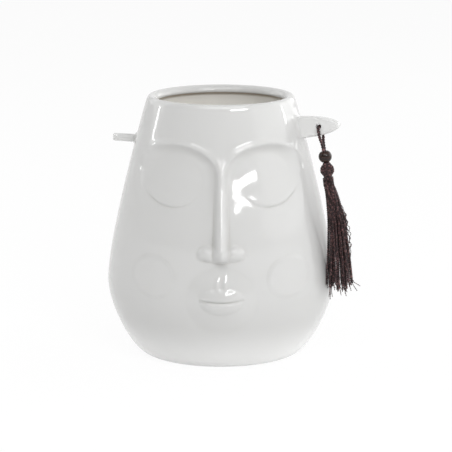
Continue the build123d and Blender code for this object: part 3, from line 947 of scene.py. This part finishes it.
def lay_yarn(name, chains, ply_radius, ply_offset, pitch, step, sides):
    """A plain mesh of yarn along chains of points, in metres, with its pitch and step in millimetres."""
    verts, edges = [], []
    for chain in chains:
        start = len(verts)
        verts += [tuple(point) for point in chain]
        edges += [(start + index, start + index + 1) for index in range(len(chain) - 1)]
    guide = bpy.data.meshes.new(name + "_guide")
    guide.from_pydata(verts, edges, [])
    carrier = put(name + "_guide", guide)
    tree = bpy.data.node_groups.get("twisted_yarn") or yarn_tree()
    modifier = carrier.modifiers.new("yarn", "NODES")
    modifier.node_group = tree
    values = {
        "Ply Radius": ply_radius, "Ply Offset": ply_offset, "Twist Pitch": pitch * MM, "Step": step * MM,
        "Sides": sides, "Yarn": yarn(),
    }
    for item in tree.interface.items_tree:
        if item.in_out == "INPUT" and item.name in values:
            modifier[item.identifier] = values[item.name]
    bpy.context.view_layer.update()
    graph = bpy.context.evaluated_depsgraph_get()
    mesh = bpy.data.meshes.new_from_object(carrier.evaluated_get(graph))
    bpy.data.objects.remove(carrier)
    bpy.data.meshes.remove(guide)
    if not mesh.polygons:
        raise RuntimeError(name + " came out empty")
    mesh.name = name
    return put(name, mesh)


# Route of the cord, in millimetres: along the hole's axis, and up from the pivot along the loop
CORD_ROUTE = [
    (1.05, -26.9), (1.2, -12.6), (4.45, -8.4), (4.4, 0.65),
    (-4.4, 0.65), (-4.45, -8.4), (-1.2, -12.6), (-1.05, -26.9),
]
# Cord and knot: lengths in millimetres, counts and shares
CORD_SMOOTHNESS = 24
CORD_PITCH = 4.2
CORD_STEP = 0.28
PLY_SHARE = 0.34
KNOT_TURNS = 3
KNOT_STEPS = 90
KNOT_TAPER = 0.25
KNOT_RADIUS = 1.9
KNOT_HEIGHT = 2.6
KNOT_DROP = 1.0


def cord_path():
    """Points of the cord's smooth route, in metres."""
    curve = bpy.data.curves.new("cord_route", "CURVE")
    curve.dimensions = "3D"
    curve.resolution_u = CORD_SMOOTHNESS
    spline = curve.splines.new("NURBS")
    spline.points.add(len(CORD_ROUTE) - 1)
    for point, (aside, up) in zip(spline.points, CORD_ROUTE):
        point.co = (*(pivot + facing * aside * MM + loop_up * up * MM), 1)
    spline.order_u = 3
    spline.use_endpoint_u = True
    route = put("cord_route", curve)
    bpy.context.view_layer.update()
    line = bpy.data.meshes.new_from_object(route.evaluated_get(bpy.context.evaluated_depsgraph_get()))
    path = [vert.co.copy() for vert in line.vertices]
    bpy.data.objects.remove(route)
    bpy.data.meshes.remove(line)
    return path


def knot_turns():
    """Points of the winding that knots the cord's two ends, between the bead and the tassel's head."""
    place = axes_matrix(facing, loop_up, knot)
    turns = []
    for step in range(KNOT_STEPS + 1):
        share = step / KNOT_STEPS
        radius = KNOT_RADIUS * (1 - KNOT_TAPER + KNOT_TAPER * math.sin(math.pi * share))
        rise = KNOT_HEIGHT * (0.5 - share) - KNOT_DROP
        turns.append(place @ (polar(radius, 2 * math.pi * KNOT_TURNS * share, rise) * MM))
    return turns


class FACEVASE_OT_cord(bpy.types.Operator):
    """Doubled cord through the ear's hole, both legs in the bead, its ends knotted at the tassel's head"""

    bl_idname = "face_vase.cord"
    bl_label = "Hanging cord"

    def execute(self, context):
        sizes = context.scene.tassel_sizes
        path = cord_path()
        ply = PLY_SHARE * sizes.cord
        offset = sizes.cord / 2 - ply
        piece = lay_yarn("hanging_cord", [path], ply, offset, CORD_PITCH, CORD_STEP, sides=10)
        settle(piece, "loop", "cord", "hanging_loop")
        wound = lay_yarn("cord_knot", [knot_turns()], ply, offset, CORD_PITCH, CORD_STEP, sides=8)
        settle(wound, "loop", "cord")
        return {"FINISHED"}


# Bead: lengths in millimetres, and counts of the mesh
BEAD_GAP = 0.3
BEAD_BORE = 2.3
BEAD_EDGE = 0.5
BEAD_ROWS = 15
BEAD_EDGE_ROWS = 9
BEAD_COLUMNS = 64


def turned(section, columns, place):
    """Points in metres of a section, radii and heights in millimetres, turned round its axis and placed."""
    angles = [2 * math.pi * step / columns for step in range(columns)]
    return [place @ (polar(radius, angle, rise) * MM) for radius, rise in section for angle in angles]


class FACEVASE_OT_bead(bpy.types.Operator):
    """Turned wooden bead, bored for the two legs of the cord, with its bore's edges broken"""

    bl_idname = "face_vase.bead"
    bl_label = "Wooden bead"

    def execute(self, context):
        sizes = context.scene.tassel_sizes
        colours = context.scene.vase_colours
        ball = sizes.bead / MM
        # The broken edge is an arc that touches both the ball and the bore
        reach = BEAD_BORE + BEAD_EDGE
        level = math.sqrt((ball - BEAD_EDGE) ** 2 - reach**2)
        touch = math.atan2(level, reach)
        turns = np.linspace(0, touch, BEAD_ROWS)
        top = [(ball * math.cos(angle), ball * math.sin(angle)) for angle in turns]
        top += [
            (reach + BEAD_EDGE * math.cos(angle), level + BEAD_EDGE * math.sin(angle))
            for angle in np.linspace(touch, math.pi, BEAD_EDGE_ROWS)[1:]
        ]
        top += [(BEAD_BORE, level * share) for share in (0.66, 0.33)]
        section = top + [(BEAD_BORE, 0)] + [(radius, -rise) for radius, rise in reversed(top[1:])]
        place = axes_matrix(facing, loop_up, knot + loop_up * (BEAD_GAP + ball) * MM)
        verts = turned(section, BEAD_COLUMNS, place)
        faces = lathe_faces(len(section), BEAD_COLUMNS, closed=True)
        piece = new_piece("bead_lacquered", verts, faces, [wood_material(colours.wood, colours.wood_light)])
        settle(piece, "bead", "stained_wood", "wooden_bead")
        return {"FINISHED"}


# Tassel, down from the knot: lengths in millimetres, angles in radians, counts, shares and powers
TASSEL_LEAN = math.radians(7.33)
NECK_LENGTH = 7.2
HEAD_STRANDS = 30
HEAD_ROWS = 9
HEAD_TOP = math.radians(4)
WAIST_ROWS = 6
NECK_SUNK = 0.5
HEAD_TWIST = 0.6
HEAD_SQUARE = 0.55
CORE_SHARE = 0.93
CORE_COLUMNS = 40
BINDING_TURNS = 6
BINDING_PITCH = 1.05
BINDING_THREAD = 0.46
BINDING_STEPS = 36
BINDING_TWIST = 2.0
BINDING_STEP = 0.25
PLY_CLOSENESS = 0.95
STRAND_PITCH = 3.4
STRAND_STEP = 0.7
GOLDEN_ANGLE = math.radians(137.508)
STRAND_POINTS = 24
STRAND_SWAY = 0.4
STRAND_BOW = (0.2, 0.9)
STRAND_WAVES = 5
STRAND_WAVE_ASIDE = 0.6
SKIRT_SUNK = 0.8
SKIRT_FLARE = 0.85
SKIRT_BOW_RUN = 0.75
SKIRT_UNEVEN = 12.0
SKIRT_UNEVEN_POWER = 1.5
SKIRT_TOP = 3.6
SKIRT_END = 10.4
SKIRT_BOW = 2.7
FLANK_ROOM = 0.25
LOOSE_PLIES = 20
LOOSE_THREAD = 0.75
LOOSE_START = (4, 16)
LOOSE_RUN = (5, 8)
LOOSE_STAND_OFF = (0.8, 3.0)
CURL_STEPS = 40
CURL_TURNS = 4
CURL_SIZE = 0.6
FRAYED_ENDS = 26
FRAY_FORWARD = (-2.2, 2.2)
FRAY_OUT = (-1.6, 2.2)
FRAY_DOWN = (1.5, 8.0)
# Long ends that stray from the skirt: the strand's rank from the outer side, and the reach past its end
STRAY_ENDS = (
    (0.0, (0.5, 6.5, -4.0)), (0.04, (0.9, 4.2, -6.5)), (0.5, (0.4, 0.8, -8.0)), (0.85, (0.6, -0.9, -9.5)),
    (0.9, (0.8, 0.4, -7.0)),
)


def tassel_place():
    """Placing matrix of the tassel: its z runs up its axis, its x along the hole's axis, from the knot."""
    axis = UP * math.cos(TASSEL_LEAN) - right_out * math.sin(TASSEL_LEAN)
    return axes_matrix(facing, axis, knot)


def tassel_drops(sizes):
    """How far under the knot the head's middle, the neck and the skirt begin."""
    head = sizes.head / MM
    head_drop = BEAD_GAP + head
    neck_start = head_drop + math.sqrt(head**2 - (sizes.neck / MM) ** 2)
    return head_drop, neck_start, neck_start + NECK_LENGTH


class FACEVASE_OT_head(bpy.types.Operator):
    """Head of the tassel: the hank of yarn folded over the knot, round a core that runs into the neck"""

    bl_idname = "face_vase.head"
    bl_label = "Tassel head"

    def execute(self, context):
        sizes = context.scene.tassel_sizes
        place = tassel_place()
        head_drop, neck_start, skirt_start = tassel_drops(sizes)
        half = sizes.strand / MM / 2
        ball = sizes.head / MM - half
        neck = sizes.neck / MM - half
        rows = [
            (ball * math.sin(angle) ** HEAD_SQUARE, -head_drop + ball * math.cos(angle))
            for angle in np.linspace(HEAD_TOP, math.pi / 2, HEAD_ROWS)
        ]
        rows += [
            (ball + (neck - ball) * float(ease(0, 1, share)), -head_drop + (head_drop - neck_start) * share)
            for share in np.linspace(0, 1, WAIST_ROWS + 1)[1:]
        ]
        neck_run = neck_start - skirt_start - NECK_SUNK
        rows += [(neck, -neck_start + neck_run * share) for share in (0.5, 1.0)]
        chains = []
        for number in range(HEAD_STRANDS):
            turn = 2 * math.pi * number / HEAD_STRANDS
            chain = []
            for step, (radius, rise) in enumerate(rows):
                angle = turn + HEAD_TWIST * step / len(rows)
                chain.append(place @ (polar(radius, angle, rise) * MM))
            chains.append(chain)
        ply = sizes.strand / 4
        offset = ply * PLY_CLOSENESS
        piece = lay_yarn("tassel_head_yarn", chains, ply, offset, STRAND_PITCH, STRAND_STEP, sides=6)
        settle(piece, "tassel", "yarn", "tassel_head")

        # Core of folded yarn that closes the gaps between the strands
        section = [
            (CORE_SHARE * radius, CORE_SHARE * (rise + head_drop) - head_drop)
            for radius, rise in rows[:HEAD_ROWS]
        ]
        section += [(radius - (1 - CORE_SHARE) * ball, rise) for radius, rise in rows[HEAD_ROWS:]]
        verts = turned(section[::-1], CORE_COLUMNS, place)
        faces = lathe_faces(len(section), CORE_COLUMNS)
        faces.append(tuple(reversed(range(CORE_COLUMNS))))
        faces.append(tuple(range(len(verts) - CORE_COLUMNS, len(verts))))
        core = new_piece("tassel_core", verts, faces, [yarn()])
        settle(core, "tassel", "yarn")
        return {"FINISHED"}


class FACEVASE_OT_binding(bpy.types.Operator):
    """Thread wound tightly round the neck"""

    bl_idname = "face_vase.binding"
    bl_label = "Neck binding"

    def execute(self, context):
        sizes = context.scene.tassel_sizes
        place = tassel_place()
        _, neck_start, _ = tassel_drops(sizes)
        radius = sizes.neck / MM + BINDING_THREAD
        start = neck_start + (NECK_LENGTH - BINDING_TURNS * BINDING_PITCH) / 2
        chain = []
        for step in range(BINDING_TURNS * BINDING_STEPS + 1):
            turn = step / BINDING_STEPS
            chain.append(place @ (polar(radius, 2 * math.pi * turn, -start - BINDING_PITCH * turn) * MM))
        ply = BINDING_THREAD / 2 * MM
        piece = lay_yarn(
            "neck_binding_thread", [chain], ply, ply * PLY_CLOSENESS, BINDING_TWIST, BINDING_STEP, sides=6
        )
        settle(piece, "tassel", "yarn", "neck_binding")
        return {"FINISHED"}


def off_the_flank(point, profile, ratio, room):
    """A point moved out from the vase's axis until it lies off the flank by some room, in millimetres."""
    least = float(np.interp(point.z, profile[:, 1], profile[:, 0])) + room
    now = math.hypot(point.x, point.y / ratio)
    if now >= least:
        return point
    return Vector((point.x * least / now, point.y * least / now, point.z))


def curl(chain, low, high, stand_off, draw):
    """A ply that stands off a strand to the outer side, in small curls, over a stretch of its points."""
    phase = draw.uniform(0, 2 * math.pi)
    points = []
    for step in range(CURL_STEPS + 1):
        share = step / CURL_STEPS
        along = low + (high - low) * share
        index = min(int(along), len(chain) - 2)
        spot = chain[index].lerp(chain[index + 1], along - index)
        off = math.sin(math.pi * share)
        turn = phase + 2 * math.pi * CURL_TURNS * share
        aside = Vector((CURL_SIZE * math.cos(turn), CURL_SIZE * math.sin(turn) + stand_off, 0))
        points.append(spot + aside * off)
    return points


def skirt_strands(sizes, draw):
    """Chains of the strands in the tassel's own millimetres, spread evenly by the golden angle."""
    _, _, skirt_start = tassel_drops(sizes)
    strands = []
    for number in range(sizes.strands):
        share = math.sqrt((number + 0.5) / sizes.strands)
        drop = sizes.skirt / MM - SKIRT_UNEVEN * draw.random() ** SKIRT_UNEVEN_POWER
        sway = draw.uniform(-STRAND_SWAY, STRAND_SWAY)
        phase = draw.uniform(0, 2 * math.pi)
        bow = draw.uniform(*STRAND_BOW)
        chain = []
        for step in range(STRAND_POINTS + 1):
            part = step / STRAND_POINTS
            reach = share * (SKIRT_TOP + (SKIRT_END - SKIRT_TOP) * part**SKIRT_FLARE)
            wave = bow * part * math.sin(phase + STRAND_WAVES * part)
            angle = GOLDEN_ANGLE * number + sway * part
            spot = polar(reach, angle, SKIRT_SUNK - skirt_start - drop * part)
            outwards = SKIRT_BOW * math.sin(math.pi * part**SKIRT_BOW_RUN)
            chain.append(spot + Vector((wave, STRAND_WAVE_ASIDE * wave + outwards, 0)))
        strands.append(chain)
    return strands


def loose_plies(strands, draw):
    """Chains of untwisted plies: some stand off the outer side, some splay at the ends, and a few stray."""
    loose = []
    outer = sorted(strands, key=lambda chain: -chain[STRAND_POINTS // 2].y)
    for number in range(LOOSE_PLIES):
        chain = outer[number % (LOOSE_PLIES // 2)]
        low = draw.uniform(*LOOSE_START)
        high = low + draw.uniform(*LOOSE_RUN)
        loose.append(curl(chain, low, high, draw.uniform(*LOOSE_STAND_OFF), draw))
    for chain in draw.sample(strands, FRAYED_ENDS):
        start, tip = chain[-3], chain[-1]
        for _ in range(2):
            forward, out = draw.uniform(*FRAY_FORWARD), draw.uniform(*FRAY_OUT)
            away = Vector((forward, out, -draw.uniform(*FRAY_DOWN)))
            loose.append([start, tip + away * 0.1, tip + away * 0.5, tip + away])
    for share, reach in STRAY_ENDS:
        chain = outer[int(share * (len(outer) - 1))]
        away = Vector(reach)
        loose.append([chain[-5], chain[-2], chain[-1] + away * 0.3, chain[-1] + away])
    return loose


def hang(chains, context):
    """Chains of tassel points brought to metres in the frame, and clear of the flank."""
    vase = context.scene.vase_sizes
    profile = outside_profile(vase)
    room = context.scene.tassel_sizes.strand / MM / 2 + FLANK_ROOM
    place = tassel_place()
    hung = []
    for chain in chains:
        spots = [place @ (point * MM) / MM for point in chain]
        hung.append([off_the_flank(spot, profile, vase.depth_ratio, room) * MM for spot in spots])
    return hung


class FACEVASE_OT_skirt(bpy.types.Operator):
    """Skirt of hanging yarn ends that lie against the flank, uneven, with loose plies and frayed ends"""

    bl_idname = "face_vase.skirt"
    bl_label = "Tassel skirt"

    def execute(self, context):
        sizes = context.scene.tassel_sizes
        draw = random.Random(sizes.seed)
        strands = skirt_strands(sizes, draw)
        chains = hang(strands, context)
        ply = sizes.strand / 4
        offset = ply * PLY_CLOSENESS
        piece = lay_yarn("tassel_skirt_yarn", chains, ply, offset, STRAND_PITCH, STRAND_STEP, sides=5)
        settle(piece, "tassel", "yarn", "tassel_skirt")

        chains = hang(loose_plies(strands, draw), context)
        ply = LOOSE_THREAD / 4 * MM
        piece = lay_yarn("tassel_loose_plies", chains, ply, ply, STRAND_PITCH, STRAND_STEP, sides=5)
        settle(piece, "tassel", "yarn")
        return {"FINISHED"}


# Camera and floor, in metres, with the lens in millimetres
CAMERA_PLACE = Vector((0, -1.356, 0.427))
CAMERA_AIM = Vector((0.0039, 0, 0.0968))
CAMERA_LENS = 143.4
CAMERA_SENSOR = 36.0
FLOOR_HALF = 12.0
FLOOR_GLOW = 0.92
# Brightness of the room along each axis of a direction: the run over which it changes, and from what to what
ROOM = (
    ("Y", (-0.5, 0.4), (0.29, 0.95), "SMOOTHSTEP"),
    ("Z", (0.4, 0.95), (1.0, 0.65), "SMOOTHSTEP"),
    ("X", (-0.8, 0.8), (0.9, 1.15), "LINEAR"),
)
LAMP_AIM = Vector((0, 0, 0.12))
# Lamps, in degrees and metres: turn from the front to +X, elevation, distance, width, height and radiance
LAMPS = {
    "key_box": (25, 27.6, 1.6, 0.64, 0.13, 18.0),
    "left_strip": (-99, 13, 1.3, 0.08, 0.18, 9.0),
    "right_strip": (99, 13, 1.3, 0.06, 0.18, 9.0),
    "left_panel": (-115, 26, 1.5, 1.4, 0.9, 1.0),
    "right_panel": (125, 16, 1.5, 1.4, 0.6, 1.4),
    "right_fill": (78, 26, 1.6, 2.0, 1.2, 0.8),
    "top_box": (0, 48, 1.4, 1.4, 0.7, 3.0),
}


def soft_box(name, turn, elevation, distance, width, height, radiance):
    """Rectangular lamp that faces the vase, as bright as its radiance whatever its size."""
    lamp = bpy.data.lights.new(name, "AREA")
    lamp.shape = "RECTANGLE"
    lamp.size = width
    lamp.size_y = height
    lamp.energy = radiance * math.pi * width * height
    turn, elevation = math.radians(turn), math.radians(elevation)
    flat = math.cos(elevation)
    away = Vector((math.sin(turn) * flat, -math.cos(turn) * flat, math.sin(elevation)))
    holder = put(name, lamp)
    holder.location = LAMP_AIM + away * distance
    holder.rotation_euler = away.to_track_quat("Z", "Y").to_euler()


def paper_material(colour):
    """Matt studio paper that mostly glows to the camera and in reflections: white, with a faint shadow."""
    material, tree = new_material("studio_paper")
    ray = add_node(tree, "ShaderNodeLightPath")
    paper = add_node(tree, "ShaderNodeBsdfDiffuse", {"Color": opaque(colour)})
    white = add_node(tree, "ShaderNodeEmission", {"Color": (1, 1, 1, 1), "Strength": 1.0})
    seen = add_node(tree, "ShaderNodeMath", {
        0: ray.outputs["Is Camera Ray"], 1: ray.outputs["Is Glossy Ray"],
    }, operation="MAXIMUM")
    glow = add_node(tree, "ShaderNodeMath", {0: seen.outputs[0], 1: FLOOR_GLOW}, operation="MULTIPLY")
    mixed = add_node(tree, "ShaderNodeMixShader", {
        0: glow.outputs[0], 1: paper.outputs[0], 2: white.outputs[0],
    })
    add_node(tree, "ShaderNodeOutputMaterial", {"Surface": mixed.outputs[0]})
    return material


def white_room():
    """Room, white behind the vase, darker behind the camera and overhead, and brighter on the right."""
    world = bpy.data.worlds.new("white_studio")
    world.use_nodes = True
    tree = world.node_tree
    tree.nodes.clear()
    place = add_node(tree, "ShaderNodeTexCoord")
    parts = add_node(tree, "ShaderNodeSeparateXYZ", {0: place.outputs["Generated"]})
    walls = 1.0
    for axis, (start, stop), (low, high), kind in ROOM:
        change = add_node(tree, "ShaderNodeMapRange", {
            "Value": parts.outputs[axis], "From Min": start, "From Max": stop,
            "To Min": low, "To Max": high,
        }, interpolation_type=kind)
        product = add_node(tree, "ShaderNodeMath", {0: walls, 1: change.outputs[0]}, operation="MULTIPLY")
        walls = product.outputs[0]
    # The camera itself sees plain white
    ray = add_node(tree, "ShaderNodeLightPath")
    seen = add_node(tree, "ShaderNodeMath", {
        0: ray.outputs["Is Camera Ray"], 1: ray.outputs["Is Transmission Ray"],
    }, operation="MAXIMUM")
    level = add_node(tree, "ShaderNodeMix", {0: seen.outputs[0], 2: walls, 3: 1.0})
    sky = add_node(tree, "ShaderNodeBackground", {"Color": (1, 1, 1, 1), "Strength": level.outputs[0]})
    add_node(tree, "ShaderNodeOutputWorld", {"Surface": sky.outputs[0]})
    return world


class FACEVASE_OT_stage(bpy.types.Operator):
    """Pale floor, white surround, soft lamps and the camera at the photograph's viewing angle"""

    bl_idname = "face_vase.stage"
    bl_label = "Stage"

    def execute(self, context):
        scene = context.scene
        scene.view_settings.view_transform = "Standard"
        corners = [(x * FLOOR_HALF, y * FLOOR_HALF, 0) for x, y in ((-1, -1), (1, -1), (1, 1), (-1, 1))]
        paper = paper_material(scene.vase_colours.floor)
        floor = new_piece("studio_floor", corners, [(0, 1, 2, 3)], [paper])
        scene.world = white_room()
        for name, values in LAMPS.items():
            soft_box(name, *values)

        camera = bpy.data.cameras.new("photo_camera")
        camera.lens = CAMERA_LENS
        camera.sensor_width = CAMERA_SENSOR
        holder = put("photo_camera", camera)
        holder.location = CAMERA_PLACE
        holder.rotation_euler = (CAMERA_AIM - CAMERA_PLACE).to_track_quat("-Z", "Y").to_euler()
        scene.camera = holder
        return {"FINISHED"}


OPERATORS = (
    FACEVASE_OT_body,
    FACEVASE_OT_ears,
    FACEVASE_OT_bead,
    FACEVASE_OT_cord,
    FACEVASE_OT_head,
    FACEVASE_OT_binding,
    FACEVASE_OT_skirt,
    FACEVASE_OT_stage,
)
SETTINGS = {
    "vase_sizes": VaseSizes,
    "face_sizes": FaceSizes,
    "tassel_sizes": TasselSizes,
    "vase_colours": VaseColours,
}


class FACEVASE_PT_panel(bpy.types.Panel):
    """Sizes, colours and build steps of the face vase"""

    bl_idname = "FACEVASE_PT_panel"
    bl_label = "Face Vase"
    bl_space_type = "VIEW_3D"
    bl_region_type = "UI"
    bl_category = "Face Vase"

    def draw(self, context):
        for attribute, group in SETTINGS.items():
            settings = getattr(context.scene, attribute)
            box = self.layout.box()
            for key in group.__annotations__:
                box.prop(settings, key)
        for operator in OPERATORS:
            self.layout.operator(operator.bl_idname)


def register():
    for kind in (*SETTINGS.values(), *OPERATORS, FACEVASE_PT_panel):
        bpy.utils.register_class(kind)
    for attribute, group in SETTINGS.items():
        setattr(bpy.types.Scene, attribute, bpy.props.PointerProperty(type=group))


def unregister():
    for attribute in SETTINGS:
        delattr(bpy.types.Scene, attribute)
    for kind in reversed((*SETTINGS.values(), *OPERATORS, FACEVASE_PT_panel)):
        bpy.utils.unregister_class(kind)


def main():
    register()
    for operator in OPERATORS:
        space, name = operator.bl_idname.split(".")
        getattr(getattr(bpy.ops, space), name)()


if __name__ == "__main__":
    main()
